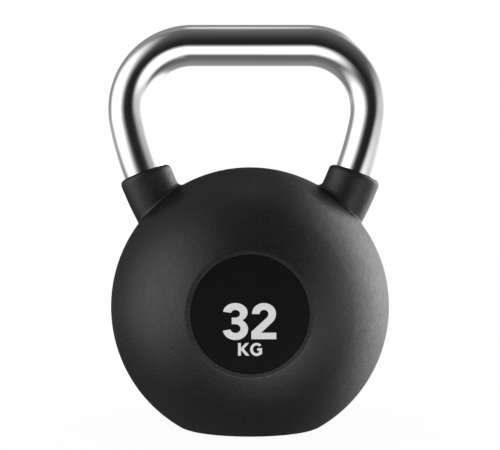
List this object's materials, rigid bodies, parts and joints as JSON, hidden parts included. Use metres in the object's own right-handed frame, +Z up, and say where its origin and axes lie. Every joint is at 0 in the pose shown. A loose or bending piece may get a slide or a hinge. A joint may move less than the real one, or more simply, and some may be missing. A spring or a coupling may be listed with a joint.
{
  "type": "kettlebell",
  "caption": "Kettlebell with a rubber-jacketed ball, a flat base, a collar round each leg of a chromed bar handle, and a round weight label in a shallow recess at the front.",
  "frame": {"origin": "middle of the flat base, on the surface that the kettlebell stands on", "axes": "+Z up, -Y out of the front, where the label is, +X along the grip, to the right of someone who faces the label"},
  "size_m": [0.2282, 0.2117, 0.3232],
  "materials": {
    "cast_iron": "matte",
    "chrome_bar": "polished",
    "weld_steel": "matte",
    "black_rubber": "matte",
    "adhesive_film": "matte",
    "label_black": "satin",
    "label_print": "satin"
  },
  "bodies": {
    "root": {"cast_iron_core": "cast_iron", "steel_handle": "chrome_bar", "left_handle_weld": "weld_steel", "right_handle_weld": "weld_steel", "rubber_jacket": "black_rubber", "label_adhesive": "adhesive_film", "label_disc": "label_black"}
  },
  "joints": []
}
